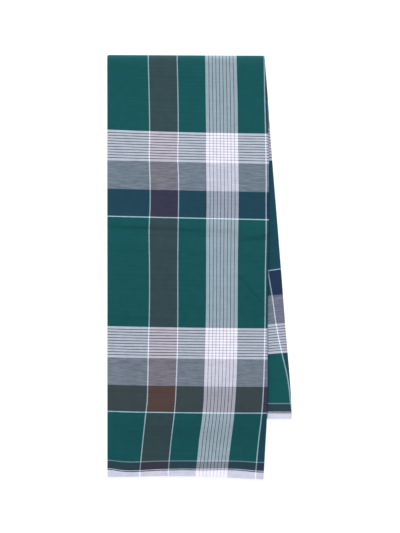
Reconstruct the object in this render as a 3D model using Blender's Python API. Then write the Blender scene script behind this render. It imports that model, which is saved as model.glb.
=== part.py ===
"""A cotton lungi folded flat: an eight-ply strip, doubled over once, its front leg askew on its back leg.

The cloth is folded in half three times along its length. That makes a strip of eight plies: its left side is
one round fold, and its right side shows the edges of two smaller folds with two cut ends between them. The
strip is then doubled over a crosswise fold at the top. The back leg lies on the ground, and swings out to the
right. The front leg lies on it, and sags to the ground past its left side and its lower end.

Every length is in millimetres until a mesh is made. A point of the strip has three coordinates:
    across   a share of the strip's width, 0 at the left side and 1 at the right, and an offset from there
    along    a station, which is a place on the front leg, round the crosswise fold or on the back leg
    level    the height in the strip, 0 on the side inside the crosswise fold, LEG_THICKNESS on the outer side
"""

import math
from collections import namedtuple

import bmesh
import bpy
import numpy as np

MM = 0.001

# Thickness
LEG_THICKNESS = 5.0  # eight loose plies
WALL = 1.0  # the outer ply
SEAM_GAP = 0.3  # between two pieces, and between the two legs
HIDDEN_PLIES = 6
HIDDEN_LOW = WALL + SEAM_GAP
HIDDEN_HIGH = LEG_THICKNESS - WALL - SEAM_GAP

# Crosswise fold
FOLD_INNER_RADIUS = 1.5
FOLD_OUTER_RADIUS = FOLD_INNER_RADIUS + LEG_THICKNESS
FOLD_STEPS = 8
FOLD_SETTLES = 62.0  # how far down from the fold the two legs close up
FOLD_SLOPE = 1.2  # how much lower the fold lies at the right side

# Round sides of the strip
LEFT_RADIUS = LEG_THICKNESS / 2
LEFT_STEPS = 8
LOBE_RADIUS = 1.25  # the outer ply turns back under itself at the right
LOBE_STEPS = 5
LOBE_TAIL = 5.0

# Lengths down from the crosswise fold
FRONT_LENGTH = 635.0
BACK_LENGTH = 547.0
END_WAVE_LENGTH = 70.0  # how far up from its lower end the front leg's rows follow its wave
SIDE_SAG = 28.0  # how far past the back leg's left side the front leg reaches the ground
END_SAG = 46.0  # and how far past its end
SEAM_DOWN = 24.0  # the outer ply's seam, on the back leg, under the front leg

SideRow = namedtuple("SideRow", "down left right")
FRONT_SIDES = (
    SideRow(down=0, left=0, right=236.0),
    SideRow(down=50, left=0, right=239.5),
    SideRow(down=125, left=0, right=242.8),
    SideRow(down=230, left=0, right=243.4),
    SideRow(down=385, left=0, right=241.5),
    SideRow(down=540, left=0, right=240.7),
    SideRow(down=640, left=0, right=235.0),
)
BACK_SIDES = (
    SideRow(down=0, left=0, right=236.0),
    SideRow(down=50, left=1.5, right=240.2),
    SideRow(down=160, left=7.5, right=248.9),
    SideRow(down=280, left=16.5, right=258.7),
    SideRow(down=400, left=26.0, right=267.9),
    SideRow(down=520, left=35.4, right=277.2),
    SideRow(down=548, left=37.5, right=278.2),
)

EndRow = namedtuple("EndRow", "share down")
FRONT_END = (
    EndRow(share=0.0, down=635.7),
    EndRow(share=0.14, down=635.4),
    EndRow(share=0.34, down=633.3),
    EndRow(share=0.55, down=634.0),
    EndRow(share=0.78, down=634.3),
    EndRow(share=1.0, down=637.4),
)

RidgeRow = namedtuple("RidgeRow", "down_left down_right rise half_width")
FRONT_RIDGES = (
    RidgeRow(down_left=246, down_right=262, rise=1.1, half_width=17),
    RidgeRow(down_left=286, down_right=296, rise=0.8, half_width=20),
)

PlyRow = namedtuple("PlyRow", "front_inset back_inset side_inset")
BEHIND_LOBE = LOBE_RADIUS + LOBE_TAIL + SEAM_GAP
HIDDEN_PLY_ROWS = (
    PlyRow(front_inset=1.6, back_inset=0.7, side_inset=BEHIND_LOBE),
    PlyRow(front_inset=0.5, back_inset=2.1, side_inset=BEHIND_LOBE),
    PlyRow(front_inset=2.4, back_inset=1.2, side_inset=BEHIND_LOBE),
    PlyRow(front_inset=1.1, back_inset=2.6, side_inset=BEHIND_LOBE),
    PlyRow(front_inset=2.0, back_inset=0.4, side_inset=2.2),
    PlyRow(front_inset=0.7, back_inset=1.5, side_inset=0.9),
)

# Stations along the strip, as lengths down from the crosswise fold
FRONT_ROWS = (
    FRONT_LENGTH, 620, 605, 593, 586, 578, 570, 562, 554, 547, 541, 500, 460, 415, 370, 335,
    312, 300, 289, 278, 268, 257, 245, 232, 205, 160, 115, 70, 52, 36, 22,
)
BACK_ROWS = (SEAM_DOWN, 60, 130, 205, 280, 350, 420, 490, 525, BACK_LENGTH)

# Columns across the strip: offsets in from a round side, and shares of the width between
LEFT_COLUMNS = (7.5, 12.5, 18, 24, 30, 36.5, 43, 50, 58)
MIDDLE_SHARES = (0.36, 0.5, 0.64, 0.78)
RIGHT_COLUMNS = (34, 22, 12)

Station = namedtuple("Station", "part at")
Across = namedtuple("Across", "share offset level")

CLOTH_COLOURS = {
    "front_stretch": (0.013, 0.100, 0.102, 1.0),
    "back_stretch": (0.024, 0.063, 0.105, 1.0),
    "hidden_layers": (0.165, 0.215, 0.262, 1.0),
}
CLOTH_ROUGHNESS = 0.85


def smoothstep(t):
    t = min(max(t, 0.0), 1.0)
    return t * t * (3.0 - 2.0 * t)


def read_smooth(places, values, at):
    """The height at a place on the smooth curve through a table's rows."""
    slopes = np.gradient(values, places)
    at = min(max(at, places[0]), places[-1])
    row = min(int(np.searchsorted(places, at, side="right")), len(places) - 1) - 1
    span = places[row + 1] - places[row]
    t = (at - places[row]) / span
    start = (1 + 2 * t) * (1 - t) ** 2 * values[row] + t * (1 - t) ** 2 * span * slopes[row]
    end = t * t * (3 - 2 * t) * values[row + 1] + t * t * (t - 1) * span * slopes[row + 1]
    return float(start + end)


def sides_at(rows, down):
    """The left and right sides of a leg at a length down from the crosswise fold."""
    places = [row.down for row in rows]
    left = read_smooth(places, [row.left for row in rows], down)
    right = read_smooth(places, [row.right for row in rows], down)
    return left, right


def ridge_lift(x, down):
    """How much the soft ridges beside the press creases lift the front leg."""
    share = x / FRONT_SIDES[0].right
    lift = 0.0
    for ridge in FRONT_RIDGES:
        middle = ridge.down_left + (ridge.down_right - ridge.down_left) * share
        lift += ridge.rise * smoothstep(1.0 - abs(down - middle) / ridge.half_width)
    return lift


def front_underside(x, down):
    """Height of the front leg's underside: on the back leg, and sagging to the ground past it."""
    settled = smoothstep((down - FOLD_OUTER_RADIUS) / FOLD_SETTLES)
    gap = 2 * FOLD_INNER_RADIUS + (SEAM_GAP - 2 * FOLD_INNER_RADIUS) * settled
    back_left = sides_at(BACK_SIDES, down)[0]
    past_side = max(back_left - x, 0.0) / SIDE_SAG
    past_end = max(down - BACK_LENGTH, 0.0) / END_SAG
    sag = smoothstep(math.hypot(past_side, past_end))
    return (LEG_THICKNESS + gap) * (1.0 - sag) + ridge_lift(x, down)


def front_end_wave(share, down):
    """How much further down a row of the front leg lies, near its waved lower end."""
    end = read_smooth([row.share for row in FRONT_END], [row.down for row in FRONT_END], share)
    near_end = smoothstep(1.0 - (FRONT_LENGTH - down) / END_WAVE_LENGTH)
    return (end - FRONT_LENGTH) * near_end


def strip_sides(station, down):
    """The left and right sides of the strip, which pass from one leg's to the other's round the fold."""
    if station.part == "front":
        return sides_at(FRONT_SIDES, down)
    if station.part == "back":
        return sides_at(BACK_SIDES, down)
    front = sides_at(FRONT_SIDES, FOLD_OUTER_RADIUS)
    back = sides_at(BACK_SIDES, FOLD_OUTER_RADIUS)
    turned = station.at / math.pi
    return [f + (b - f) * turned for f, b in zip(front, back)]


def place(station, across, inset=0.0):
    """The point of the strip at a station, drawn back up the leg by an inset."""
    down = station.at - inset
    left, right = strip_sides(station, down)
    x = left + across.share * (right - left) + across.offset
    share = (x - left) / (right - left)
    if station.part == "fold":
        reach = FOLD_INNER_RADIUS + across.level
        down = FOLD_OUTER_RADIUS - reach * math.sin(station.at)
        height = FOLD_OUTER_RADIUS + reach * math.cos(station.at)
    elif station.part == "front":
        height = front_underside(x, down) + across.level
        down += front_end_wave(share, down)
    else:
        height = LEG_THICKNESS - across.level
    return (x, -(down + FOLD_SLOPE * share), height)


def flat_columns(level):
    """Columns over the flat of the strip, left to right, between its round sides."""
    left = [Across(0.0, offset, level) for offset in LEFT_COLUMNS]
    middle = [Across(share, 0.0, level) for share in MIDDLE_SHARES]
    right = [Across(1.0, -offset, level) for offset in RIGHT_COLUMNS]
    return left + middle + right


def arc(share, centre, level, radius, start, end, steps):
    """Points of a round side. Angles are in degrees: 90 is the outer face, 0 points right and 180 left."""
    angles = [math.radians(start + (end - start) * k / steps) for k in range(steps + 1)]
    return [Across(share, centre + radius * math.cos(a), level + radius * math.sin(a)) for a in angles]


def outer_ply_line(depth):
    """The outer ply's line across the strip at a depth in its wall: lobe, outer face, fold, inner face."""
    lobe_level = LEG_THICKNESS - LOBE_RADIUS
    lobe = arc(1.0, -LOBE_RADIUS, lobe_level, LOBE_RADIUS - depth, -90, 90, LOBE_STEPS)
    tail = [Across(1.0, -LOBE_RADIUS - LOBE_TAIL, lobe_level - LOBE_RADIUS + depth)]
    outer_face = list(reversed(flat_columns(LEG_THICKNESS - depth)))
    fold = arc(0.0, LEFT_RADIUS, LEFT_RADIUS, LEFT_RADIUS - depth, 90, 270, LEFT_STEPS)
    inner_face = flat_columns(depth)
    edge_turn = 45 if depth else -45
    edge = arc(1.0, -WALL / 2, WALL / 2, WALL / 2, 2 * edge_turn, edge_turn, 1)
    return tail + lobe + outer_face + fold + inner_face + edge


def outer_ply_section():
    """The outer ply's section: a line along its face, and one along the inside of its wall."""
    return list(zip(outer_ply_line(0.0), outer_ply_line(WALL)))


def hidden_section():
    """The section of the six hidden plies: round at the left, and each ply's own edge at the right."""
    ply = (HIDDEN_HIGH - HIDDEN_LOW) / HIDDEN_PLIES
    levels = [HIDDEN_HIGH - ply * (k + face) for k in range(HIDDEN_PLIES) for face in (0, 1)]
    radius = (HIDDEN_HIGH - HIDDEN_LOW) / 2
    middle = (HIDDEN_HIGH + HIDDEN_LOW) / 2
    columns = [arc(0.0, LEFT_RADIUS, middle, radius, 90, 270, len(levels) - 1)]
    columns += [[across._replace(level=level) for level in levels] for across in flat_columns(0.0)]
    edges = [row.side_inset for row in HIDDEN_PLY_ROWS for _ in range(2)]
    columns.append([Across(1.0, -inset, level) for inset, level in zip(edges, levels)])
    return columns


def fold_stations():
    return [Station("fold", math.pi * k / FOLD_STEPS) for k in range(FOLD_STEPS + 1)]


def front_stations():
    return [Station("front", down) for down in FRONT_ROWS]


def back_stations():
    return [Station("back", down) for down in BACK_ROWS]


def sweep(section, stations, first_insets, last_insets):
    """Points and faces of a solid with a section of columns and levels, carried along the stations."""
    columns, levels = len(section), len(section[0])
    points = []
    for index, station in enumerate(stations):
        ends = {0: first_insets, len(stations) - 1: last_insets}
        insets = ends.get(index) or [0.0] * levels
        for column in section:
            points += [place(station, across, inset) for across, inset in zip(column, insets)]

    def at(station, column, level):
        return (station * columns + column) * levels + level

    faces = []
    for s in range(len(stations) - 1):
        for c in range(columns - 1):
            for k in (0, levels - 1):
                faces.append((at(s, c, k), at(s + 1, c, k), at(s + 1, c + 1, k), at(s, c + 1, k)))
        for k in range(levels - 1):
            for c in (0, columns - 1):
                faces.append((at(s, c, k), at(s + 1, c, k), at(s + 1, c, k + 1), at(s, c, k + 1)))
    for s in (0, len(stations) - 1):
        for c in range(columns - 1):
            for k in range(levels - 1):
                faces.append((at(s, c, k), at(s, c + 1, k), at(s, c + 1, k + 1), at(s, c, k + 1)))
    return points, faces


def cloth_material(name):
    material = bpy.data.materials.new(name)
    material.use_nodes = True
    shader = material.node_tree.nodes["Principled BSDF"]
    shader.inputs["Base Color"].default_value = CLOTH_COLOURS[name]
    shader.inputs["Roughness"].default_value = CLOTH_ROUGHNESS
    shader.inputs["Metallic"].default_value = 0.0
    return material


def add_piece(name, points, faces, parent):
    mesh = bpy.data.meshes.new(name)
    mesh.from_pydata([tuple(value * MM for value in point) for point in points], [], faces)
    body = bmesh.new()
    body.from_mesh(mesh)
    bmesh.ops.recalc_face_normals(body, faces=body.faces)
    body.to_mesh(mesh)
    body.free()
    mesh.shade_smooth()
    mesh.set_sharp_from_angle(angle=math.radians(50))
    mesh.materials.append(cloth_material(name))
    piece = bpy.data.objects.new(name, mesh)
    piece.parent = parent
    bpy.context.collection.objects.link(piece)


def front_stretch():
    """The outer ply of the front leg and of the crosswise fold, down to its seam behind."""
    stations = front_stations() + fold_stations()
    stations.append(Station("back", SEAM_DOWN - SEAM_GAP))
    return sweep(outer_ply_section(), stations, (0.0, 0.0), (0.0, 0.0))


def back_stretch():
    """The outer ply of the back leg, from the seam to its end."""
    return sweep(outer_ply_section(), back_stations(), (0.0, 0.0), (0.0, 0.0))


def hidden_layers():
    """The six plies inside both legs, in one round-sided solid with staggered ends."""
    stations = front_stations() + fold_stations() + back_stations()
    front_insets = [row.front_inset for row in HIDDEN_PLY_ROWS for _ in range(2)]
    back_insets = [row.back_inset for row in HIDDEN_PLY_ROWS for _ in range(2)]
    return sweep(hidden_section(), stations, front_insets, back_insets)


def build():
    for old in list(bpy.data.objects):
        bpy.data.objects.remove(old)
    pieces = {
        "front_stretch": front_stretch(),
        "back_stretch": back_stretch(),
        "hidden_layers": hidden_layers(),
    }
    corners = np.array([point for points, _ in pieces.values() for point in points])
    middle = (corners.min(axis=0) + corners.max(axis=0)) / 2
    lungi = bpy.data.objects.new("lungi", None)
    lungi.location = (-middle[0] * MM, -middle[1] * MM, 0.0)
    bpy.context.collection.objects.link(lungi)
    for name, (points, faces) in pieces.items():
        add_piece(name, points, faces, lungi)


build()
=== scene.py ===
"""The looks of a folded cotton lungi: its sheet laid ply by ply, dyed-yarn checks, weave, creases, light.

The cloth is one sheet. It is folded in half three times along its length, into a strip of eight plies, and
the strip is doubled over a crosswise fold. Ply 0 is the outer one and ply 7 faces the inside of the
crosswise fold. At the left side plies 0 and 7, 1 and 6, 2 and 5, 3 and 4 turn into each other. At the right
side 0 turns into 3, 1 into 2 and 7 into 6, and plies 4 and 5 end there.

Lengths are in millimetres until a mesh is made. Each point of the cloth also keeps its place in the weave:
warp is its distance across the stripes that run down the leg, weft its distance from the front selvedge.
"""

import math
from collections import namedtuple

import bmesh
import bpy
import numpy as np
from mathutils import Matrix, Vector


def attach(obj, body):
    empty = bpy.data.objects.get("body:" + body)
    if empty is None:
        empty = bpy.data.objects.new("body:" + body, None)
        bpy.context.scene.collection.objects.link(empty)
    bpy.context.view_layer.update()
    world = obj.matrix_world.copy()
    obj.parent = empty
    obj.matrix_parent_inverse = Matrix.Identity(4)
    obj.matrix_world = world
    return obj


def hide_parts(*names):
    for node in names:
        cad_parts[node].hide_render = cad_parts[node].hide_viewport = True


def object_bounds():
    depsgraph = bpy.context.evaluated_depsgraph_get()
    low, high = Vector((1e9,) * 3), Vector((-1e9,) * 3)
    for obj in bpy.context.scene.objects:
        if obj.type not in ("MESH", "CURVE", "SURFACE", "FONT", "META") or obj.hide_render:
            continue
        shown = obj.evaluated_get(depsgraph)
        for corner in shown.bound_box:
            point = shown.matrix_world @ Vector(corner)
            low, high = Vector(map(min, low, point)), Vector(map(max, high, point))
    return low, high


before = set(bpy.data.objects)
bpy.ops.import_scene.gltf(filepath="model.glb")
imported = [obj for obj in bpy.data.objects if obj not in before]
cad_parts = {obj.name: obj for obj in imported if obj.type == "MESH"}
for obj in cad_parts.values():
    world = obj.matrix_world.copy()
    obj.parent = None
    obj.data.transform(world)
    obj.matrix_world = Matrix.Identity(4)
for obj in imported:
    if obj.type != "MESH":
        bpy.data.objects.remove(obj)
CAD_LOW, CAD_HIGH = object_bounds()

MM = 0.001

# The strip, as in the solids
LEG_THICKNESS = 5.0
SEAM_GAP = 0.3  # between the legs where they lie close
FOLD_INNER_RADIUS = 1.5
FOLD_OUTER_RADIUS = FOLD_INNER_RADIUS + LEG_THICKNESS
FOLD_TRAVEL = 20.0  # cloth round the crosswise fold
FOLD_SETTLES = 62.0  # from the crosswise fold to where the legs lie close
FOLD_SLOPE = 1.2  # how much lower the strip's right side lies than its left side
FRONT_LENGTH = 635.0
BACK_LENGTH = 547.0
END_WAVE_LENGTH = 70.0  # how far up the front leg the wave of its end reaches
SIDE_SAG = 28.0  # how far past the back leg's left side the front leg reaches the ground
END_SAG = 46.0  # how far past the back leg's end it does
SEAM_DOWN = 24.0  # where the two stretches of the outer ply meet, down the back leg
TOP_WIDTH = 236.0

# The plies
PLIES = 8
CLOTH = 0.34  # thickness of the sheet
PITCH = (LEG_THICKNESS - CLOTH) / (PLIES - 1)
TAIL = 7.0  # how far the outer ply runs back under itself at the right
TAIL_GAP = 0.4
TO_TAIL = 17.0  # along the cloth from the crosswise fold's width to where the outer ply's tails end

# Where each leg's sides are, at lengths down from the crosswise fold
SideRow = namedtuple("SideRow", "down left right")
FRONT_SIDES = (
    SideRow(down=0, left=0, right=236.0),
    SideRow(down=50, left=0, right=239.5),
    SideRow(down=125, left=0, right=242.8),
    SideRow(down=230, left=0, right=243.4),
    SideRow(down=385, left=0, right=241.5),
    SideRow(down=540, left=0, right=240.7),
    SideRow(down=640, left=0, right=235.0),
)
BACK_SIDES = (
    SideRow(down=0, left=0, right=236.9),
    SideRow(down=50, left=1.5, right=241.0),
    SideRow(down=160, left=7.5, right=248.9),
    SideRow(down=280, left=16.5, right=258.7),
    SideRow(down=400, left=26.0, right=267.9),
    SideRow(down=520, left=35.4, right=277.2),
    SideRow(down=548, left=37.5, right=278.2),
)

# How far down the front leg's waved end is, at shares of its width
EndRow = namedtuple("EndRow", "share down")
FRONT_END = (
    EndRow(share=0.0, down=635.7),
    EndRow(share=0.14, down=635.4),
    EndRow(share=0.34, down=634.3),
    EndRow(share=0.55, down=634.2),
    EndRow(share=0.76, down=635.7),
    EndRow(share=0.88, down=637.2),
    EndRow(share=1.0, down=638.4),
)

# How much higher the border's lines lie than at an even distance from the front leg's end
BorderRow = namedtuple("BorderRow", "x lift")
BORDER_LIFT = (
    BorderRow(x=0, lift=2.0),
    BorderRow(x=6, lift=1.9),
    BorderRow(x=17, lift=0.0),
    BorderRow(x=80, lift=0.0),
    BorderRow(x=113, lift=0.6),
    BorderRow(x=145, lift=0.9),
    BorderRow(x=177, lift=2.4),
    BorderRow(x=200, lift=2.8),
    BorderRow(x=222, lift=1.6),
    BorderRow(x=245, lift=1.5),
)
BORDER_REACH = (10.0, 46.0)  # how far from the end that lift is whole, and where it has gone

# Soft ridges beside the press creases, which lift all the plies of the front leg
RidgeRow = namedtuple("RidgeRow", "down_left down_right rise half_width")
FRONT_RIDGES = (
    RidgeRow(down_left=246, down_right=262, rise=1.1, half_width=17),
    RidgeRow(down_left=286, down_right=296, rise=0.8, half_width=20),
)

# Soft swells of the front leg: each a wave across it and down it
SWELL_SLANT = 1 / 3  # part of a wave by which the wave down the leg shifts for one wave across
BACK_SWELL = 0.05  # share by which the back leg thickens for a millimetre of swell
BACK_SWELL_SHIFT = (90.0, 40.0)  # from a place on the back leg to the place that gives its swell
RELIEF_REACH = 40.0  # from the crosswise fold to where swells and creases are whole
SwellRow = namedtuple("SwellRow", "rise across down turn")
SWELLS = (
    SwellRow(rise=0.26, across=310, down=150, turn=0.4),
    SwellRow(rise=0.17, across=150, down=260, turn=2.1),
    SwellRow(rise=0.10, across=95, down=88, turn=4.0),
    SwellRow(rise=0.05, across=52, down=61, turn=1.2),
)

# Press creases of the front leg's outer ply, from one end to the other. Going down the leg, the ply rises
# over the reach, and falls by depth at the crease.
CREASE_REACH = 18.0
CREASE_FADE = 0.2  # share of a crease's length over which it fades at each end
CreaseRow = namedtuple("CreaseRow", "left down_left right down_right depth half_width")
CREASES = (
    CreaseRow(left=-8, down_left=259.0, right=58, down_right=260.2, depth=0.85, half_width=1.1),
    CreaseRow(left=20, down_left=258.2, right=142, down_right=263.4, depth=1.1, half_width=1.4),
    CreaseRow(left=100, down_left=262.5, right=206, down_right=265.5, depth=0.75, half_width=2.3),
    CreaseRow(left=196, down_left=276.0, right=250, down_right=269.5, depth=1.3, half_width=1.5),
    CreaseRow(left=188, down_left=281.0, right=250, down_right=273.5, depth=1.3, half_width=1.4),
    CreaseRow(left=190, down_left=321.2, right=250, down_right=391.0, depth=1.8, half_width=1.0),
    CreaseRow(left=-6, down_left=394.0, right=70, down_right=395.5, depth=1.0, half_width=1.9),
    CreaseRow(left=-8, down_left=24.0, right=84, down_right=26.0, depth=0.9, half_width=2.0),
    CreaseRow(left=110, down_left=32.0, right=206, down_right=37.0, depth=0.5, half_width=2.2),
    CreaseRow(left=60, down_left=566.0, right=128, down_right=561.0, depth=0.2, half_width=3.0),
)

# How far the warp lines of the front leg lie right of their places in the chart, at five of those places
DriftRow = namedtuple("DriftRow", "down line_1 line_2 band_left band_right line_3")
DRIFT_PLACES = (62.6, 105.6, 147.2, 195.6, 237.0)
DRIFT = (
    DriftRow(down=4, line_1=-0.8, line_2=-0.3, band_left=0.3, band_right=-0.9, line_3=-0.7),
    DriftRow(down=67, line_1=0.7, line_2=1.0, band_left=1.0, band_right=0.6, line_3=0.2),
    DriftRow(down=122, line_1=1.4, line_2=1.3, band_left=1.7, band_right=1.2, line_3=1.6),
    DriftRow(down=149, line_1=0.8, line_2=0.7, band_left=1.6, band_right=1.6, line_3=2.0),
    DriftRow(down=194, line_1=2.0, line_2=1.9, band_left=2.2, band_right=2.2, line_3=2.4),
    DriftRow(down=221, line_1=2.1, line_2=1.9, band_left=2.4, band_right=2.2, line_3=2.2),
    DriftRow(down=266, line_1=0.5, line_2=1.1, band_left=1.8, band_right=1.6, line_3=2.3),
    DriftRow(down=312, line_1=1.1, line_2=0.7, band_left=1.8, band_right=1.0, line_3=1.4),
    DriftRow(down=393, line_1=0.8, line_2=0.7, band_left=1.3, band_right=0.7, line_3=0.7),
    DriftRow(down=438, line_1=-0.5, line_2=0.2, band_left=0.3, band_right=0.2, line_3=0.0),
    DriftRow(down=492, line_1=-1.5, line_2=-1.6, band_left=-1.2, band_right=-1.2, line_3=-1.4),
    DriftRow(down=520, line_1=-2.3, line_2=-2.8, band_left=-2.1, band_right=-2.8, line_3=-2.8),
    DriftRow(down=547, line_1=-5.3, line_2=-5.3, band_left=-4.4, band_right=-5.1, line_3=-5.1),
    DriftRow(down=574, line_1=-8.2, line_2=-8.7, band_left=-8.1, band_right=-8.3, line_3=-8.3),
    DriftRow(down=601, line_1=-11.0, line_2=-11.5, band_left=-10.8, band_right=-11.8, line_3=-11.0),
    DriftRow(down=628, line_1=-13.6, line_2=-13.6, band_left=-13.9, band_right=-14.9, line_3=-13.1),
)

# How much lower a weft line of the front leg lies at its right end than at its left end, and how far it
# bows down between them
DropRow = namedtuple("DropRow", "down drop bow")
WEFT_DROP = (
    DropRow(down=0, drop=6.6, bow=0.8),
    DropRow(down=114, drop=6.3, bow=1.1),
    DropRow(down=158, drop=5.5, bow=0.1),
    DropRow(down=202, drop=5.3, bow=0.2),
    DropRow(down=242, drop=5.4, bow=0.1),
    DropRow(down=408, drop=3.5, bow=0.5),
    DropRow(down=455, drop=3.1, bow=0.3),
    DropRow(down=496, drop=3.0, bow=0.4),
    DropRow(down=536, drop=2.5, bow=0.7),
    DropRow(down=640, drop=1.4, bow=0.0),
)

# The back leg: warp place at its right side on ply 7, and the rise of a weft line per length to the right
BackRow = namedtuple("BackRow", "down warp_right weft_slope")
BACK_WEAVE = (
    BackRow(down=0, warp_right=246.0, weft_slope=0.0),
    BackRow(down=100, warp_right=250.0, weft_slope=0.02),
    BackRow(down=200, warp_right=257.0, weft_slope=0.07),
    BackRow(down=293, warp_right=260.5, weft_slope=0.13),
    BackRow(down=325, warp_right=258.1, weft_slope=0.14),
    BackRow(down=360, warp_right=254.7, weft_slope=0.10),
    BackRow(down=403, warp_right=252.2, weft_slope=0.10),
    BackRow(down=437, warp_right=248.6, weft_slope=0.08),
    BackRow(down=486, warp_right=241.4, weft_slope=0.03),
    BackRow(down=523, warp_right=239.3, weft_slope=0.0),
    BackRow(down=548, warp_right=236.5, weft_slope=0.0),
)
BACK_SLOPE_MIDDLE = 255.0  # where across the back leg its weft lines turn

# The weave as beaten: a weft place measured on the cloth, and its place in the even chart
WeftRow = namedtuple("WeftRow", "place chart")
WEFT_PLACES = (
    WeftRow(place=-20, chart=-20),
    WeftRow(place=97.9, chart=97),
    WeftRow(place=138.9, chart=138.2),
    WeftRow(place=180.4, chart=180.5),
    WeftRow(place=227.3, chart=228.2),
    WeftRow(place=391.7, chart=391),
    WeftRow(place=434.2, chart=432.2),
    WeftRow(place=476.9, chart=474.5),
    WeftRow(place=523.1, chart=522.2),
    WeftRow(place=684.0, chart=685),
    WeftRow(place=726.0, chart=726.2),
    WeftRow(place=768.0, chart=768.5),
    WeftRow(place=816.0, chart=816.2),
    WeftRow(place=979.7, chart=979),
    WeftRow(place=1018.8, chart=1020.2),
    WeftRow(place=1062.5, chart=1062.5),
    WeftRow(place=1107.0, chart=1110.2),
    WeftRow(place=1181.0, chart=1181),
    WeftRow(place=1226.0, chart=1226),
)
WEFT_AT_CREST = 635.7  # weft place at the top of the crosswise fold
WEFT_AT_BACK = 657.5  # weft place of the back leg, less its distance down
LOOM_WIDTH = 1205.7


# Curves and surfaces


def smoothstep(t):
    t = np.clip(t, 0.0, 1.0)
    return t * t * (3.0 - 2.0 * t)


def column_of(rows, name):
    return np.array([getattr(row, name) for row in rows], float)


def smooth_curve(places, values, at):
    """Heights at places on the smooth curve through a table's rows."""
    slopes = np.gradient(values, places)
    at = np.clip(at, places[0], places[-1])
    row = np.clip(np.searchsorted(places, at, side="right") - 1, 0, len(places) - 2)
    span = places[row + 1] - places[row]
    t = (at - places[row]) / span
    start = (1 + 2 * t) * (1 - t) ** 2 * values[row] + t * (1 - t) ** 2 * span * slopes[row]
    end = t * t * (3 - 2 * t) * values[row + 1] + t * t * (t - 1) * span * slopes[row + 1]
    return start + end


def sides_at(rows, down):
    """The left and right sides of a leg at lengths down from the crosswise fold."""
    places = column_of(rows, "down")
    left = smooth_curve(places, column_of(rows, "left"), down)
    right = smooth_curve(places, column_of(rows, "right"), down)
    return left, right


def ridge_lift(x, down):
    """The soft ridges beside the press creases."""
    lift = 0.0
    for ridge in FRONT_RIDGES:
        middle = ridge.down_left + (ridge.down_right - ridge.down_left) * x / TOP_WIDTH
        lift = lift + ridge.rise * smoothstep(1.0 - np.abs(down - middle) / ridge.half_width)
    return lift


def crease_lift(x, down):
    """The press creases: sharp lips that fade at both ends."""
    lift = 0.0
    for crease in CREASES:
        run = np.array([crease.right - crease.left, crease.down_right - crease.down_left], float)
        length = float(np.hypot(*run))
        run /= length
        along = ((x - crease.left) * run[0] + (down - crease.down_left) * run[1]) / length
        aside = (down - crease.down_left) * run[0] - (x - crease.left) * run[1]
        fade = smoothstep(np.minimum(along, 1.0 - along) / CREASE_FADE)
        lip = 0.5 - 0.5 * np.tanh(aside / crease.half_width)
        lift = lift + crease.depth * fade * lip * np.exp(-np.abs(aside) / CREASE_REACH)
    return lift


def swell_lift(x, down):
    """The soft swells of a leg."""
    lift = 0.0
    for swell in SWELLS:
        across = 2 * math.pi * x / swell.across
        along = 2 * math.pi * down / swell.down + across * SWELL_SLANT
        lift = lift + swell.rise * np.sin(across + swell.turn) * np.cos(along)
    return lift


def front_relief(x, down, outer):
    """How far the front leg's plies rise over its plain form: swells for all, creases for the outer one."""
    free = smoothstep((down - FOLD_OUTER_RADIUS) / RELIEF_REACH)
    return (crease_lift(x, down) * outer + swell_lift(x, down)) * free


def front_underside(x, down):
    """Height of the front leg's underside: on the back leg, and sagging to the ground past it."""
    settled = smoothstep((down - FOLD_OUTER_RADIUS) / FOLD_SETTLES)
    gap = 2 * FOLD_INNER_RADIUS + (SEAM_GAP - 2 * FOLD_INNER_RADIUS) * settled
    back_left = sides_at(BACK_SIDES, down)[0]
    past_side = np.maximum(back_left - x, 0.0) / SIDE_SAG
    past_end = np.maximum(down - BACK_LENGTH, 0.0) / END_SAG
    sag = smoothstep(np.hypot(past_side, past_end))
    return (LEG_THICKNESS + gap) * (1.0 - sag) + ridge_lift(x, down)


def front_end_wave(share, down):
    """How much further down a row of the front leg lies, near its waved lower end."""
    end = smooth_curve(column_of(FRONT_END, "share"), column_of(FRONT_END, "down"), share)
    near_end = smoothstep(1.0 - (FRONT_LENGTH - down) / END_WAVE_LENGTH)
    return (end - FRONT_LENGTH) * near_end


# Lines across the strip

# A line is the middle of the sheet, from fold to fold, and the way that one of its faces looks
Point = namedtuple("Point", "share offset level face_x face_level ply")


def ply_level(ply):
    return LEG_THICKNESS - CLOTH / 2 - PITCH * ply


def flat_run(ply, face, spots):
    """A stretch of one ply. face is 1 if the face that is followed looks the outer ply's way, else -1."""
    return [Point(share, offset, ply_level(ply), 0.0, face, ply) for share, offset in spots]


def turn(share, centre, ply_from, ply_to, start, end, steps, outside):
    """A round fold from one ply into another. Angles are in degrees: 90 is the outer face, 180 is left."""
    level = (ply_level(ply_from) + ply_level(ply_to)) / 2
    radius = abs(ply_level(ply_from) - ply_level(ply_to)) / 2
    face = 1 if outside else -1
    made = []
    for k in range(steps + 1):
        angle = math.radians(start + (end - start) * k / steps)
        x, up = math.cos(angle), math.sin(angle)
        made.append(Point(share, centre + radius * x, level + radius * up, face * x, face * up, ply_to))
    return made


# The round turns, as offsets from the strip's left or right side
INNER_LOBE_IN = 0.9  # how far ply 1's lobe stays inside ply 0's
LAST_LOBE_IN = 0.35  # how far ply 7's lobe stays inside the right side
LEFT_CENTRE = LEG_THICKNESS / 2
OUTER_LOBE = 1.5 * PITCH
SMALL_LOBE = 0.5 * PITCH
OUTER_LOBE_CENTRE = -(OUTER_LOBE + CLOTH / 2)
INNER_LOBE_CENTRE = OUTER_LOBE_CENTRE - INNER_LOBE_IN
LAST_LOBE_CENTRE = -(SMALL_LOBE + CLOTH / 2 + LAST_LOBE_IN)
PLY_4_END = -2.6  # the cut edges of the two plies that end at the right
PLY_5_END = -1.2

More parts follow.
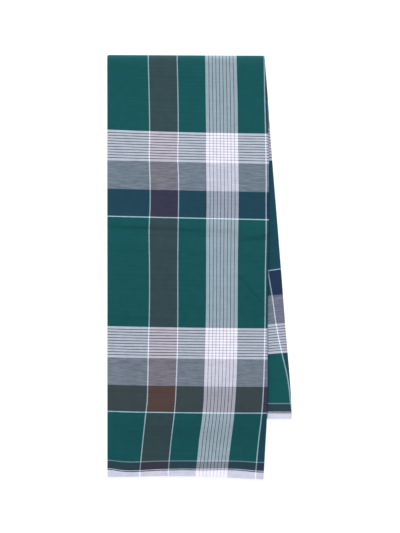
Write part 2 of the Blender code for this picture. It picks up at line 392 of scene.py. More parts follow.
# Where a ply's even places start at the left and stop before the right, and its last place before a lobe
SPOTS_START = 8.0
OUTER_SPOTS_STOP = 9.0
INNER_SPOTS_STOP = 14.0
OUTER_LAST_SPOT = -4.5
INNER_LAST_SPOT = -6.0

EdgeRow = namedtuple("EdgeRow", "sway length turn")
EDGE_SWAY = (  # how each ply's right side wanders along the strip
    EdgeRow(sway=0.10, length=171, turn=0.3),
    EdgeRow(sway=0.40, length=139, turn=1.1),
    EdgeRow(sway=0.40, length=139, turn=1.1),
    EdgeRow(sway=0.10, length=171, turn=0.3),
    EdgeRow(sway=1.10, length=233, turn=2.2),
    EdgeRow(sway=0.75, length=187, turn=4.4),
    EdgeRow(sway=0.28, length=121, turn=5.2),
    EdgeRow(sway=0.28, length=121, turn=5.2),
)
EDGE_DRAWN_IN = 0.2  # how much an edge is drawn in besides, as a share of its wandering
END_SWAY = (  # how far each ply's end is drawn back at the front and at the back leg, and how that wanders
    EdgeRow(sway=0.0, length=100, turn=0.0),
    EdgeRow(sway=0.7, length=160, turn=0.6),
    EdgeRow(sway=1.3, length=210, turn=2.0),
    EdgeRow(sway=0.6, length=140, turn=3.3),
    EdgeRow(sway=1.1, length=190, turn=4.1),
    EdgeRow(sway=0.5, length=120, turn=5.0),
    EdgeRow(sway=1.2, length=170, turn=1.4),
    EdgeRow(sway=0.0, length=100, turn=0.0),
)
END_DRAWN_BACK = 1.15  # how far an end is drawn back on average, as a share of its sway
BACK_END_TURN = 1.7  # how much further on the back leg's ends are in their wandering


def spots_between(first, last, step):
    """Even places across a ply, as shares of the strip's width."""
    count = max(int(round((last - first) / step)), 1)
    places = [first + (last - first) * k / count for k in range(count + 1)]
    return [(place / TOP_WIDTH, 0.0) for place in places]


def ply_spots(stop, step, right_step=None, right_reach=0.0):
    """Places across a ply, left to right, with a step of their own near the right if one is given."""
    spots = [(0.0, LEFT_CENTRE)]
    last = TOP_WIDTH - stop
    if right_step:
        spots += spots_between(SPOTS_START, last - right_reach, step)
        spots += spots_between(last - right_reach, last, right_step)[1:]
    else:
        spots += spots_between(SPOTS_START, last, step)
    return spots


def outer_line(top_step, top_right_step, under_step, under_right_step, right_reach):
    """Ply 6's tail, ply 7, the left side, ply 0, the lobe at the right and ply 3's tail."""
    under = ply_spots(OUTER_SPOTS_STOP, under_step, under_right_step, right_reach)
    top = ply_spots(OUTER_SPOTS_STOP, top_step, top_right_step, right_reach)
    line = flat_run(6, 1, [(1.0, -TAIL), (1.0, -TAIL / 2)])
    line += turn(1.0, LAST_LOBE_CENTRE, 6, 7, 90, -90, steps=5, outside=True)
    line += flat_run(7, -1, [(1.0, OUTER_LAST_SPOT)] + under[:0:-1])
    line += turn(0.0, LEFT_CENTRE, 7, 0, 270, 90, steps=12, outside=True)
    line += flat_run(0, 1, top[1:] + [(1.0, OUTER_LAST_SPOT)])
    line += turn(1.0, OUTER_LOBE_CENTRE, 0, 3, 90, -90, steps=8, outside=True)
    line += flat_run(3, -1, [(1.0, -TAIL / 2), (1.0, -TAIL)])
    return line


def inner_lines(step):
    """The plies inside: from ply 4's cut end to ply 3's tail, and from ply 6's tail to ply 5's cut end."""
    spots = ply_spots(INNER_SPOTS_STOP, step)
    near_tail = (1.0, -TAIL - TAIL_GAP)
    last = (1.0, INNER_LAST_SPOT)
    first = flat_run(4, -1, [(1.0, PLY_4_END), last] + spots[:0:-1])
    first += turn(0.0, LEFT_CENTRE, 4, 3, 270, 90, steps=4, outside=True)
    first += flat_run(3, 1, spots[1:] + [near_tail])
    second = flat_run(6, 1, [near_tail] + spots[:0:-1])
    second += turn(0.0, LEFT_CENTRE, 6, 1, 270, 90, steps=10, outside=False)
    second += flat_run(1, -1, spots[1:] + [last])
    second += turn(1.0, INNER_LOBE_CENTRE, 1, 2, 90, -90, steps=5, outside=False)
    second += flat_run(2, 1, [last] + spots[:0:-1])
    second += turn(0.0, LEFT_CENTRE, 2, 5, 90, 270, steps=8, outside=True)
    second += flat_run(5, -1, spots[1:] + [last, (1.0, PLY_5_END)])
    return first, second


# Stations along the strip

FRONT, FOLD, BACK = range(3)
Station = namedtuple("Station", "part at")  # at is the length down a leg, or the angle round the fold
FINE_ROWS = ((252.0, 288.0), (326.0, 400.0))  # lengths down the front leg where most of its creases lie
UNDER_FOLD = 12.0  # the back leg's first row under the crosswise fold


def front_rows(step, fine_step):
    """Rows up the front leg, closer together over most of the press creases."""
    rows = []
    down = FRONT_LENGTH
    while down > FOLD_OUTER_RADIUS + step:
        rows.append(Station(FRONT, down))
        down -= fine_step if any(low < down <= high for low, high in FINE_ROWS) else step
    rows.append(Station(FRONT, FOLD_OUTER_RADIUS + step / 3))
    return rows


def fold_rows(steps):
    """Rows round the crosswise fold, after the one where the front leg ends."""
    return [Station(FOLD, math.pi * k / steps) for k in range(1, steps + 1)]


def back_rows(start, end, step):
    """Rows down the back leg."""
    count = int(round((end - start) / step))
    return [Station(BACK, start + (end - start) * k / count) for k in range(count + 1)]


def edge_drawn_in(line, travelled):
    """How far the points at the right side are drawn in, at lengths along the strip."""
    edges = [EDGE_SWAY[point.ply] for point in line]
    sway, length, start = (column_of(edges, name)[None, :] for name in EdgeRow._fields)
    at_right = column_of(line, "share")[None, :] == 1.0
    edge = sway * np.sin(2 * math.pi * travelled / length + start) * at_right
    return EDGE_DRAWN_IN * np.abs(edge) - np.minimum(edge, 0.0)


def end_drawn_back(line, x, turned_on):
    """How far each ply's end is drawn back, at places across it. The outer ply's end is the strip's own."""
    drawn = []
    for column, point in enumerate(line):
        row = END_SWAY[point.ply]
        phase = 2 * math.pi * x[column] / row.length + row.turn + turned_on
        drawn.append(row.sway * (END_DRAWN_BACK + math.sin(phase)))
    return np.array(drawn)


def lay(line, stations, depth, first_end, last_end):
    """Points of the sheet, rows of stations by columns of the line, on the face at a depth from its middle.

    Returns x, down and height in millimetres, and each point's warp and weft place.
    """
    columns = ("share", "offset", "level", "face_x", "face_level")
    share, offset, level, face_x, face_level = (column_of(line, name)[None, :] for name in columns)
    part = column_of(stations, "part")[:, None]
    at = column_of(stations, "at")[:, None]
    turned = np.where(part == FOLD, at / math.pi, 0.0)
    down = np.where(part == FOLD, FOLD_OUTER_RADIUS, at)

    front = sides_at(FRONT_SIDES, down)
    back = sides_at(BACK_SIDES, down)
    on_back = np.where(part == BACK, 1.0, turned)
    left = front[0] + (back[0] - front[0]) * on_back
    right = front[1] + (back[1] - front[1]) * on_back

    travelled = np.where(part == FRONT, -down, down) + FOLD_TRAVEL * turned
    middle_x = left + share * (right - left) + offset - edge_drawn_in(line, travelled)
    x = middle_x + face_x * depth
    outer = np.clip((level - ply_level(1)) / PITCH, 0.0, 1.0)
    level = level + face_level * depth
    share_now = (x - left) / (right - left)

    down = np.broadcast_to(down, x.shape).copy()
    if first_end:
        down[0] -= end_drawn_back(line, x[0], 0.0)
    if last_end:
        down[-1] -= end_drawn_back(line, x[-1], BACK_END_TURN)

    front_height = np.maximum(front_underside(x, down) + front_relief(x, down, outer), 0.0) + level
    front_down = down + front_end_wave(share_now, down)
    reach = FOLD_INNER_RADIUS + level
    fold_down = FOLD_OUTER_RADIUS - reach * np.sin(at)
    fold_height = FOLD_OUTER_RADIUS + reach * np.cos(at)
    swell = swell_lift(x + BACK_SWELL_SHIFT[0], down + BACK_SWELL_SHIFT[1])
    back_height = (LEG_THICKNESS - level) * (1.0 + BACK_SWELL * swell)
    height = np.select([part == FRONT, part == FOLD], [front_height, fold_height], back_height)
    lying = np.select([part == FRONT, part == FOLD], [front_down, fold_down], down)
    lying = lying + FOLD_SLOPE * share_now

    warp = warp_places(line, middle_x, level, down, on_back)
    weft = weft_places(x, lying, down, share_now, part, turned)
    return x, lying, height, warp, weft


def warp_places(line, x, level, down, on_back):
    """Each point's place across the warp, by its path along the line from a point whose place is known."""
    steps = np.hypot(np.diff(x, axis=1), np.diff(level, axis=1))
    path = np.concatenate([np.zeros((len(x), 1)), np.cumsum(steps, axis=1)], axis=1)
    plies = [point.ply for point in line]
    if 0 in plies:  # the outer line: ply 0 shows on the front leg, ply 7 on the back leg
        top = next(k for k, point in enumerate(line) if point.ply == 0 and point.face_x == 0.0)
        seen_front = path - path[:, top:top + 1] + x[:, top:top + 1]
        front = seen_front - drift(seen_front, down)
        under = plies.index(7)
        from_right = path - path[:, under:under + 1] - LAST_LOBE_CENTRE
        at_right = smooth_curve(column_of(BACK_WEAVE, "down"), column_of(BACK_WEAVE, "warp_right"), down)
        back = from_right - at_right
        changed = smoothstep(2.0 * on_back - 1.0)  # on the hidden half of the crosswise fold
        return front + (back - front) * changed
    if plies[0] == 4:  # this path runs back to ply 3's tail
        return TOP_WIDTH + TO_TAIL + path[:, -1:] - path
    return -TOP_WIDTH - TO_TAIL - path


def drift(place, down):
    """How far the front leg's warp lies right of its place in the chart."""
    downs = column_of(DRIFT, "down")
    by_line = [smooth_curve(downs, column_of(DRIFT, name), down) for name in DriftRow._fields[1:]]
    result = by_line[0]
    for k in range(len(by_line) - 1):
        share = smoothstep((place - DRIFT_PLACES[k]) / (DRIFT_PLACES[k + 1] - DRIFT_PLACES[k]))
        result = result + (by_line[k + 1] - by_line[k]) * share
    return result


def weft_places(x, lying, down, share, part, turned):
    """Each point's place from the front selvedge, in the even chart."""
    places = column_of(WEFT_DROP, "down")
    lower = smooth_curve(places, column_of(WEFT_DROP, "drop"), lying) * share
    bow = smooth_curve(places, column_of(WEFT_DROP, "bow"), lying)
    lower = lower + bow * 4.0 * share * (1.0 - share)
    near_end = smoothstep(1.0 - (FRONT_LENGTH - down) / END_WAVE_LENGTH)
    plain = WEFT_AT_CREST - lying + lower
    front = plain + (FRONT_LENGTH - down - plain) * near_end
    lift = smooth_curve(column_of(BORDER_LIFT, "x"), column_of(BORDER_LIFT, "lift"), x)
    whole, gone = BORDER_REACH
    front = front - lift * smoothstep((gone - front) / (gone - whole))
    slope = smooth_curve(column_of(BACK_WEAVE, "down"), column_of(BACK_WEAVE, "weft_slope"), down)
    back = WEFT_AT_BACK + lying + slope * (x - BACK_SLOPE_MIDDLE)
    fold = front + (back - front) * smoothstep(turned)
    place = np.select([part == FRONT, part == FOLD], [front, fold], back)
    return np.interp(place, column_of(WEFT_PLACES, "place"), column_of(WEFT_PLACES, "chart"))


# Meshes

SHARP_ANGLE = 55  # degrees, past which an edge is shaded sharp


def sheet_mesh(line, stations, first_end=False, last_end=False):
    """Points, faces and weave places of a sheet with both faces and its rim."""
    sides = [lay(line, stations, depth, first_end, last_end) for depth in (CLOTH / 2, -CLOTH / 2)]
    rows, columns = len(stations), len(line)
    points = [np.stack([x, -down, height], axis=-1).reshape(-1, 3) for x, down, height, _, _ in sides]
    weave = [np.stack([warp, weft], axis=-1).reshape(-1, 2) for _, _, _, warp, weft in sides]
    index = np.arange(2 * rows * columns).reshape(2, rows, columns)
    faces = []
    for side in (0, 1):
        grid = index[side]
        corners = (grid[:-1, :-1], grid[1:, :-1], grid[1:, 1:], grid[:-1, 1:])
        quads = np.stack(corners, axis=-1).reshape(-1, 4)
        faces.append(quads if side == 0 else quads[:, ::-1])
    rims = (index[:, 0, :], index[:, -1, ::-1], index[:, ::-1, 0], index[:, :, -1])
    for rim in rims:
        faces.append(np.stack([rim[0, :-1], rim[0, 1:], rim[1, 1:], rim[1, :-1]], axis=-1))
    return np.concatenate(points), np.concatenate(faces), np.concatenate(weave)


def add_piece(name, sheets, material):
    """A mesh object of one or more sheets, placed on the solids."""
    points, faces, weave, start = [], [], [], 0
    for sheet_points, sheet_faces, sheet_weave in sheets:
        points.append(sheet_points)
        faces.append(sheet_faces + start)
        weave.append(sheet_weave)
        start += len(sheet_points)
    points = np.concatenate(points) * MM
    points[:, 0] += CAD_LOW.x
    points[:, 1] += CAD_HIGH.y
    mesh = bpy.data.meshes.new(name)
    mesh.from_pydata(points.tolist(), [], np.concatenate(faces).tolist())
    weave = np.concatenate(weave)
    vectors = np.column_stack([weave, np.zeros(len(weave))])
    stored = mesh.attributes.new("weave", "FLOAT_VECTOR", "POINT")
    stored.data.foreach_set("vector", vectors.astype(np.float32).ravel())
    body = bmesh.new()
    body.from_mesh(mesh)
    bmesh.ops.recalc_face_normals(body, faces=body.faces)
    body.to_mesh(mesh)
    body.free()
    mesh.shade_smooth()
    mesh.set_sharp_from_angle(angle=math.radians(SHARP_ANGLE))
    mesh.materials.append(material)
    piece = bpy.data.objects.new(name, mesh)
    bpy.context.collection.objects.link(piece)
    return piece


# Yarn and weave

WARP_GREEN = (0.0100, 0.0895, 0.0920)
WARP_BROWN = (0.0750, 0.0455, 0.0500)
WARP_NAVY = (0.0190, 0.0367, 0.0875)
WARP_WHITE = (0.830, 0.890, 1.0)
WARP_LINE_WHITE = (0.710, 0.920, 1.0)
WEFT_GREEN = (0.0030, 0.0675, 0.0760)
WEFT_BROWN = (0.0600, 0.0360, 0.0455)
WEFT_NAVY = (0.0120, 0.0265, 0.0690)
WEFT_WHITE = (0.758, 0.754, 0.881)
WEFT_LINE_WHITE = (0.515, 0.755, 0.885)
WEFT_GREY = (0.310, 0.294, 0.372)
WEFT_SECOND_GREY = (0.278, 0.278, 0.356)
BORDER_WHITE = (0.840, 0.825, 0.990)
BORDER_DARK = (0.0250, 0.0350, 0.0560)
DARK_LINE = (0.028, 0.014, 0.044)
FAINT_LINE = (0.21, 0.31, 0.375)

# What the cloth's colour is multiplied by where a brown warp crosses the brown or the grey weft
PLAIN_CROSSING = (1.0, 1.0, 1.0)
BROWN_ON_BROWN = (1.22, 1.27, 0.89)
BROWN_ON_GREY = (0.925, 1.005, 0.975)

# What a warp yarn's colour is multiplied by: the colour of the weft yarns that light comes through, times
# the first of these, plus the second
LIT_THROUGH = (0.52, 0.22, 0.18)
LIT_PLAIN = (0.93, 0.96, 0.97)

PLAIN_COVER = 0.62  # how much of the surface the weft yarns take
WHITE_COVER = 0.62
GREY_COVER = 0.52
LINE_COVER = 0.42
BORDER_COVER = 0.765
BORDER_WHITE_COVER = 0.755
BORDER_LINE_COVER = 0.69

# Stripes of the warp, at distances from the strip's left side, over plain green
WarpStripe = namedtuple("WarpStripe", "start end yarn")
WARP_TURNS = 264.0  # the warp chart runs to here and back again
BROWN_STRIPE = WarpStripe(start=63.4, end=104.8, yarn=WARP_BROWN)
WARP_CHART = (
    WarpStripe(start=61.8, end=63.4, yarn=WARP_LINE_WHITE),
    BROWN_STRIPE,
    WarpStripe(start=104.8, end=106.3, yarn=WARP_LINE_WHITE),
    WarpStripe(start=147.2, end=195.6, yarn=WARP_WHITE),
    WarpStripe(start=236.1, end=237.8, yarn=WARP_LINE_WHITE),
    WarpStripe(start=237.8, end=265.0, yarn=WARP_NAVY),
)
WARP_LINES = WarpStripe(start=149.9, end=192.9, yarn=DARK_LINE)
WARP_LINE_PITCH = 5.38
WARP_LINE_WIDTH = 0.85

# Stripes of the weft, at distances from the start of a repeat, over plain green
WeftStripe = namedtuple("WeftStripe", "start end yarn cover")
WEFT_FIRST = 97.0  # from the front selvedge to where the first repeat starts
WEFT_REPEAT = 294.0
BROWN_BAND = WeftStripe(start=1.75, end=41.2, yarn=WEFT_BROWN, cover=PLAIN_COVER)
GREY_BAND = WeftStripe(start=41.2, end=83.5, yarn=WEFT_GREY, cover=GREY_COVER)
WEFT_CHART = (
    WeftStripe(start=0.3, end=1.75, yarn=WEFT_LINE_WHITE, cover=WHITE_COVER),
    BROWN_BAND,
    GREY_BAND,
    WeftStripe(start=83.5, end=131.2, yarn=WEFT_WHITE, cover=WHITE_COVER),
)
WEFT_SECOND_CHART = (  # what every other repeat has in place of brown and of its grey
    WeftStripe(start=1.75, end=41.2, yarn=WEFT_NAVY, cover=PLAIN_COVER),
    WeftStripe(start=41.2, end=83.5, yarn=WEFT_SECOND_GREY, cover=GREY_COVER),
)
WEFT_LINES = WeftStripe(start=85.7, end=129.2, yarn=DARK_LINE, cover=LINE_COVER)
WEFT_LINE_PITCH = 4.34
WEFT_LINE_WIDTH = 1.1
BORDER_CHART = (  # at distances from the nearer selvedge
    WeftStripe(start=-30.0, end=8.4, yarn=BORDER_WHITE, cover=BORDER_WHITE_COVER),
    WeftStripe(start=8.4, end=9.75, yarn=BORDER_DARK, cover=BORDER_COVER),
    WeftStripe(start=9.75, end=10.75, yarn=WEFT_WHITE, cover=BORDER_LINE_COVER),
    WeftStripe(start=10.75, end=22.4, yarn=BORDER_DARK, cover=BORDER_COVER),
    WeftStripe(start=22.4, end=23.9, yarn=FAINT_LINE, cover=PLAIN_COVER),
)

# Between these weft places, up the front leg to the crosswise fold, the weft closes up and the dye pales
CHANGE_START = 60.0
CHANGE_END = 640.0
LOOSE_COVER = -0.025  # what the looser weft at the start adds to the cover
DYE_AT_START = 1.005  # the power that each colour is raised to: more is darker
DYE_AT_END = 0.955

FOLD_SHEEN_AND_WEAR = (0.004, 0.009, 0.009)  # what is added to the cloth's colour along the crosswise fold: painted sheen of the fuzz there, together with its wear
FOLD_WEFT = 639.0
SHEEN_AND_WEAR_REACH = 19.0

YARN_PITCH = 0.42
YARN_RELIEF = 0.014
CRUMPLE_RELIEF = 0.09
CHECKER_SWING = 0.22  # how much the over-and-under of the yarns changes the cover

# Uneven yarns. A grain is a noise's length across the warp stripes and along them.
Grain = namedtuple("Grain", "across along")
WARP_GRAIN = Grain(across=1.3, along=60.0)
MOTTLE_GRAIN = Grain(across=12.0, along=12.0)
BEAT_GRAIN = Grain(across=200.0, along=2.4)
CRUMPLE_GRAIN = Grain(across=26.0, along=19.0)
WARP_SWING = 0.09
MOTTLE_SWING = 0.10
BEAT_SWING = 0.11
GRAIN_DETAIL = 2.0
GRAIN_ROUGHNESS = 0.55
CRUMPLE_DETAIL = 3.0

# Streaks of the weft: how long, and how thick the group of yarns that shares one
STREAK_LENGTH = 18.0
STREAK_THICKNESS = 0.7
STREAK_DETAIL = 4.0
STREAK_ROUGHNESS = 0.5
STREAKS_APART = 7.31  # steps of the noise from one group to the next
STREAK_SWING = 0.35
GREY_STREAK_SWING = 1.45


class Nodes:
    """Short calls that add nodes to a node tree and join them."""

    def __init__(self, tree):
        self.tree = tree

    def add(self, kind, **settings):
        made = self.tree.nodes.new(kind)
        for name, value in settings.items():
            setattr(made, name, value)
        return made

    def feed(self, socket, value):
        """Joins an output to a socket, or sets a constant on the socket itself."""
        if isinstance(value, bpy.types.NodeSocket):
            self.tree.links.new(value, socket)
        elif isinstance(value, tuple) and len(value) == 3 and socket.type == "RGBA":
            socket.default_value = (*value, 1.0)
        else:
            socket.default_value = value

    def feed_all(self, sockets, values):
        for socket, value in zip(sockets, values):
            self.feed(socket, value)

    def math(self, operation, *values):
        made = self.add("ShaderNodeMath", operation=operation)
        self.feed_all(made.inputs, values)
        return made.outputs[0]

    def vector(self, operation, *values):
        made = self.add("ShaderNodeVectorMath", operation=operation)
        self.feed_all(made.inputs, values)
        return made.outputs[0]

    def scaled(self, vector, factor):
        made = self.add("ShaderNodeVectorMath", operation="SCALE")
        self.feed(made.inputs[0], vector)
        self.feed(made.inputs["Scale"], factor)
        return made.outputs[0]

    def colour(self, factor, first, second):
        """The first colour where the factor is 0, the second where it is 1."""
        made = self.add("ShaderNodeMix", data_type="RGBA", clamp_factor=True)
        self.feed_all((made.inputs[0], made.inputs[6], made.inputs[7]), (factor, first, second))
        return made.outputs[2]

    def number(self, factor, first, second):
        """The first number where the factor is 0, the second where it is 1."""
        made = self.add("ShaderNodeMix", data_type="FLOAT", clamp_factor=True)
        self.feed_all((made.inputs[0], made.inputs[2], made.inputs[3]), (factor, first, second))
        return made.outputs[0]

    def ramp(self, value, low, high, at_low, at_high):
        """A smooth change from at_low to at_high as the value goes from low to high."""
        made = self.add("ShaderNodeMapRange", interpolation_type="SMOOTHSTEP")
        self.feed_all(made.inputs, (value, low, high, at_low, at_high))
        return made.outputs[0]

    def within(self, place, low, high):
        """1 between two places, 0 elsewhere."""
        return self.math("COMPARE", place, (low + high) / 2, (high - low) / 2)

    def texture(self, place, detail, roughness):
        """Noise with a grain of about 1, at a place that is already scaled."""
        made = self.add("ShaderNodeTexNoise", noise_dimensions="2D")
        self.feed(made.inputs["Vector"], place)
        self.feed(made.inputs["Scale"], 1.0)
        self.feed(made.inputs["Detail"], detail)
        self.feed(made.inputs["Roughness"], roughness)
        return made.outputs["Fac"]

    def noise(self, weave, grain, detail=GRAIN_DETAIL):
        """Noise of one grain over the weave."""
        place = self.vector("MULTIPLY", weave, (1.0 / grain.across, 1.0 / grain.along, 1.0))
        return self.texture(place, detail, GRAIN_ROUGHNESS)

    def streaks(self, warp, weft):
        """Noise along each group of weft yarns, with no likeness from one group to the next."""
        group = self.math("FLOOR", self.math("DIVIDE", weft, STREAK_THICKNESS))
        place = self.add("ShaderNodeCombineXYZ")
        self.feed(place.inputs[0], self.math("DIVIDE", warp, STREAK_LENGTH))
        self.feed(place.inputs[1], self.math("MULTIPLY", group, STREAKS_APART))
        return self.texture(place.outputs[0], STREAK_DETAIL, STREAK_ROUGHNESS)

    def about_one(self, noise, swing):
        """A factor that swings about 1."""
        return self.math("MULTIPLY_ADD", noise, 2.0 * swing, 1.0 - swing)


def lines_mask(nodes, place, stripe, pitch, width):
    """The thin lines at an even pitch within a band, the first and last half a pitch inside its ends."""
    phase = nodes.math("FLOORED_MODULO", nodes.math("SUBTRACT", place, stripe.start), pitch)
    line = nodes.within(phase, (pitch - width) / 2, (pitch + width) / 2)
    return nodes.math("MULTIPLY", line, nodes.within(place, stripe.start, stripe.end))


def warp_yarns(nodes, warp):
    """The warp's colour, and where it is brown."""
    place = nodes.math("PINGPONG", warp, WARP_TURNS)
    masks = {stripe: nodes.within(place, stripe.start, stripe.end) for stripe in WARP_CHART}
    masks[WARP_LINES] = lines_mask(nodes, place, WARP_LINES, WARP_LINE_PITCH, WARP_LINE_WIDTH)
    colour = WARP_GREEN
    for stripe, mask in masks.items():
        colour = nodes.colour(mask, colour, stripe.yarn)
    return colour, masks[BROWN_STRIPE]


def weft_yarns(nodes, weft):
    """The weft's colour, its cover, and where it is brown and where melange grey."""
    from_first = nodes.math("SUBTRACT", weft, WEFT_FIRST)
    place = nodes.math("FLOORED_MODULO", from_first, WEFT_REPEAT)
    in_pair = nodes.math("FLOORED_MODULO", from_first, 2 * WEFT_REPEAT)
    second = nodes.math("GREATER_THAN", in_pair, WEFT_REPEAT)
    to_edge = nodes.math("MINIMUM", weft, nodes.math("SUBTRACT", LOOM_WIDTH, weft))
    masks = {stripe: nodes.within(place, stripe.start, stripe.end) for stripe in WEFT_CHART}
    brown = nodes.math("MULTIPLY", masks[BROWN_BAND], nodes.math("SUBTRACT", 1.0, second))
    for stripe in WEFT_SECOND_CHART:
        masks[stripe] = nodes.math("MULTIPLY", nodes.within(place, stripe.start, stripe.end), second)
    masks[WEFT_LINES] = lines_mask(nodes, place, WEFT_LINES, WEFT_LINE_PITCH, WEFT_LINE_WIDTH)
    for stripe in BORDER_CHART:
        masks[stripe] = nodes.within(to_edge, stripe.start, stripe.end)
    colour = WEFT_GREEN
    cover = PLAIN_COVER
    for stripe, mask in masks.items():
        colour = nodes.colour(mask, colour, stripe.yarn)
        cover = nodes.number(mask, cover, stripe.cover)
    return colour, cover, brown, masks[GREY_BAND]


def over_and_under(nodes, warp, weft):
    """Above 0 where a weft yarn lies on top, below 0 where a warp yarn does."""
    waves = math.pi / YARN_PITCH
    across = nodes.math("SINE", nodes.math("MULTIPLY", warp, waves))
    along = nodes.math("SINE", nodes.math("MULTIPLY", weft, waves))
    return nodes.math("MULTIPLY", across, along)


def woven_colour(nodes, weave, warp, weft, checker):
    """The uneven warp and weft yarns, mixed by how much of the surface each takes."""
    weft_colour, cover, weft_brown, grey = weft_yarns(nodes, weft)
    warp_colour, warp_brown = warp_yarns(nodes, warp)

    streaks = nodes.math("SUBTRACT", nodes.streaks(warp, weft), 0.5)
    swing = nodes.number(grey, STREAK_SWING, GREY_STREAK_SWING)
    weft_tone = nodes.math("ADD", nodes.math("MULTIPLY", streaks, swing), 1.0)
    warp_tone = nodes.about_one(nodes.noise(weave, WARP_GRAIN), WARP_SWING)
    lit = nodes.vector("MULTIPLY_ADD", weft_colour, LIT_THROUGH, LIT_PLAIN)
    lit_warp = nodes.vector("MULTIPLY", nodes.scaled(warp_colour, warp_tone), lit)

    loose = nodes.ramp(weft, CHANGE_START, CHANGE_END, LOOSE_COVER, 0.0)
    shown = nodes.math("MULTIPLY_ADD", checker, CHECKER_SWING, nodes.math("ADD", cover, loose))
    cloth = nodes.colour(shown, lit_warp, nodes.scaled(weft_colour, weft_tone))

    both_brown = nodes.math("MULTIPLY", warp_brown, weft_brown)
    brown_on_grey = nodes.math("MULTIPLY", warp_brown, grey)
    crossing = nodes.colour(both_brown, PLAIN_CROSSING, BROWN_ON_BROWN)
    return nodes.vector("MULTIPLY", cloth, nodes.colour(brown_on_grey, crossing, BROWN_ON_GREY))


def finished_colour(nodes, weave, weft, cloth):
    """The woven colour with a mottle, an uneven beat, painted sheen and wear along the crosswise fold, and
    a paler dye at the crosswise fold.
    """
    mottle = nodes.about_one(nodes.noise(weave, MOTTLE_GRAIN), MOTTLE_SWING)
    beat = nodes.about_one(nodes.noise(weave, BEAT_GRAIN), BEAT_SWING)
    uneven = nodes.scaled(cloth, nodes.math("MULTIPLY", mottle, beat))
    # painted sheen along the crosswise fold, with wear: the colour is lifted in a band either side of the
    # fold
    from_fold = nodes.math("ABSOLUTE", nodes.math("SUBTRACT", weft, FOLD_WEFT))
    sheen_and_wear = nodes.ramp(from_fold, 0.0, SHEEN_AND_WEAR_REACH, 1.0, 0.0)
    dye = nodes.add("ShaderNodeGamma")
    nodes.feed(dye.inputs["Color"], nodes.vector("MULTIPLY_ADD", sheen_and_wear, FOLD_SHEEN_AND_WEAR, uneven))
    nodes.feed(dye.inputs["Gamma"], nodes.ramp(weft, CHANGE_START, CHANGE_END, DYE_AT_START, DYE_AT_END))
    return dye.outputs["Color"]


def raised_yarns(nodes, weave, checker):
    """The bump of the yarns, and of a faint crumple of the cloth."""
    yarns = nodes.math("MULTIPLY", checker, YARN_RELIEF)
    crumple = nodes.noise(weave, CRUMPLE_GRAIN, detail=CRUMPLE_DETAIL)
    bump = nodes.add("ShaderNodeBump")
    bump.inputs["Strength"].default_value = 1.0
    bump.inputs["Distance"].default_value = MM
    height = nodes.math("ADD", yarns, nodes.math("MULTIPLY", crumple, CRUMPLE_RELIEF))
    nodes.feed(bump.inputs["Height"], height)
    return bump.outputs[0]


def checked_cotton():
    material = bpy.data.materials.new("checked cotton")
    material.use_nodes = True
    nodes = Nodes(material.node_tree)
    shader = material.node_tree.nodes["Principled BSDF"]

    weave = nodes.add("ShaderNodeAttribute", attribute_name="weave").outputs["Vector"]
    places = nodes.add("ShaderNodeSeparateXYZ")
    nodes.feed(places.inputs[0], weave)
    warp, weft = places.outputs[0], places.outputs[1]
    checker = over_and_under(nodes, warp, weft)
    cloth = woven_colour(nodes, weave, warp, weft, checker)
    nodes.feed(shader.inputs["Base Color"], finished_colour(nodes, weave, weft, cloth))
    nodes.feed(shader.inputs["Normal"], raised_yarns(nodes, weave, checker))
    shader.inputs["Roughness"].default_value = 0.88
    shader.inputs["Specular IOR Level"].default_value = 0.12
    shader.inputs["Sheen Weight"].default_value = 0.05
    shader.inputs["Sheen Roughness"].default_value = 0.45
    shader.inputs["Sheen Tint"].default_value = (0.75, 0.9, 0.95, 1.0)
    return material


# The pieces

cotton = checked_cotton()

front_stations = (
    front_rows(step=4.0, fine_step=1.25)
    + fold_rows(steps=16)
    + back_rows(UNDER_FOLD, SEAM_DOWN, step=6.0)
)
front_line = outer_line(
    top_step=3.2, top_right_step=1.7, under_step=10.0, under_right_step=10.0, right_reach=46.0
)
front_cloth = add_piece(
    "front_cloth",
    [sheet_mesh(front_line, front_stations, first_end=True)],
    cotton,
)

back_stations = back_rows(SEAM_DOWN, BACK_LENGTH, step=5.0)
back_line = outer_line(
    top_step=10.0, top_right_step=10.0, under_step=12.0, under_right_step=3.0, right_reach=60.0
)
back_cloth = add_piece(
    "back_cloth",
    [sheet_mesh(back_line, back_stations, last_end=True)],
    cotton,
)

inner_stations = (
    front_rows(step=8.0, fine_step=4.0)
    + fold_rows(steps=12)
    + back_rows(UNDER_FOLD, BACK_LENGTH, step=9.0)
)
inner_plies = add_piece(
    "inner_plies",
    [sheet_mesh(line, inner_stations, first_end=True, last_end=True) for line in inner_lines(step=17.0)],
    cotton,
)

for piece, node, slot in (
    (front_cloth, "front_stretch", "checked_cotton"),
    (back_cloth, "back_stretch", "checked_cotton"),
    (inner_plies, "hidden_layers", "hidden_cotton"),
):
    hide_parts(node)
    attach(piece, "root")


# Floor, light and camera, in metres

FLOOR_SIZE = 30.0
FLOOR_BELOW = 0.0002
FLOOR_CORNERS = ((-0.5, -0.5), (0.5, -0.5), (0.5, 0.5), (-0.5, 0.5))

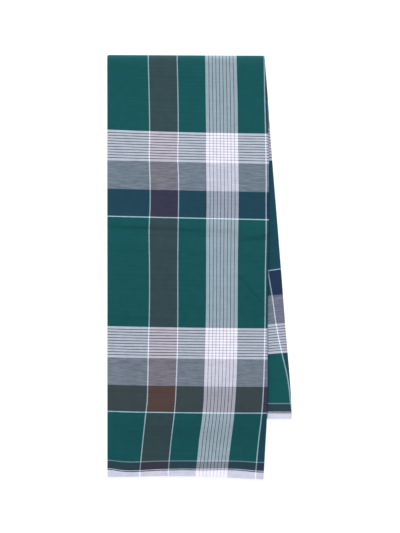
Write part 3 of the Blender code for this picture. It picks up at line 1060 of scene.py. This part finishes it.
floor_mesh = bpy.data.meshes.new("floor")
floor_mesh.from_pydata(
    [(FLOOR_SIZE * x, FLOOR_SIZE * y, -FLOOR_BELOW) for x, y in FLOOR_CORNERS],
    [],
    [(0, 1, 2, 3)],
)
floor_material = bpy.data.materials.new("pale floor")
floor_material.use_nodes = True
floor_shader = floor_material.node_tree.nodes["Principled BSDF"]
floor_shader.inputs["Base Color"].default_value = (0.40, 0.401, 0.403, 1.0)
floor_shader.inputs["Emission Color"].default_value = (1.0, 1.0, 1.0, 1.0)
floor_shader.inputs["Emission Strength"].default_value = 0.8
floor_shader.inputs["Roughness"].default_value = 0.9
floor_shader.inputs["Specular IOR Level"].default_value = 0.1
floor_mesh.materials.append(floor_material)
floor = bpy.data.objects.new("floor", floor_mesh)
bpy.context.collection.objects.link(floor)

# A pale room: white down to the horizon, greyer overhead, where the lamp hangs
STUDIO_WHITE = (0.985, 0.995, 1.02)
HORIZON_LIGHT = 1.0
ZENITH_LIGHT = 0.34
HORIZON_UP = 0.25  # how far upward a direction points where the light starts to fade, and where it has
ZENITH_UP = 0.6

world = bpy.data.worlds.new("studio")
bpy.context.scene.world = world
world.use_nodes = True
sky = Nodes(world.node_tree)
direction = sky.add("ShaderNodeSeparateXYZ")
sky.feed(direction.inputs[0], sky.add("ShaderNodeTexCoord").outputs["Generated"])
strength = sky.ramp(direction.outputs["Z"], HORIZON_UP, ZENITH_UP, HORIZON_LIGHT, ZENITH_LIGHT)
background = world.node_tree.nodes["Background"]
background.inputs["Color"].default_value = (*STUDIO_WHITE, 1.0)
sky.feed(background.inputs["Strength"], strength)

LAMP_SIZE = 5.7
LAMP_POWER = 2680.0
LAMP_PLACE = (-2.6, 11.6, 14.2)

lamp = bpy.data.lights.new("key", "AREA")
lamp.shape = "DISK"
lamp.size = LAMP_SIZE
lamp.energy = LAMP_POWER
lamp.color = STUDIO_WHITE
key = bpy.data.objects.new("key", lamp)
key.location = LAMP_PLACE
key.rotation_euler = (-key.location).to_track_quat("-Z", "Y").to_euler()
bpy.context.collection.objects.link(key)

PHOTO_PIXEL = 1.5034 * MM  # what one pixel of the photograph covers at the height of the cloth
PHOTO_SIZE = (400, 533)
VIEW_CENTRE = (0.65 * MM, 0.64 * MM)  # where the middle of the photograph looks
CAMERA_DISTANCE = 4.0
SENSOR = 36.0

lens = bpy.data.cameras.new("camera")
lens.sensor_width = SENSOR
lens.lens = SENSOR * CAMERA_DISTANCE / (PHOTO_SIZE[1] * PHOTO_PIXEL)
camera = bpy.data.objects.new("camera", lens)
camera.location = (*VIEW_CENTRE, CAD_HIGH.z + CAMERA_DISTANCE)
bpy.context.collection.objects.link(camera)
bpy.context.scene.camera = camera

bpy.context.scene.view_settings.view_transform = "Standard"
bpy.context.scene.view_settings.look = "None"
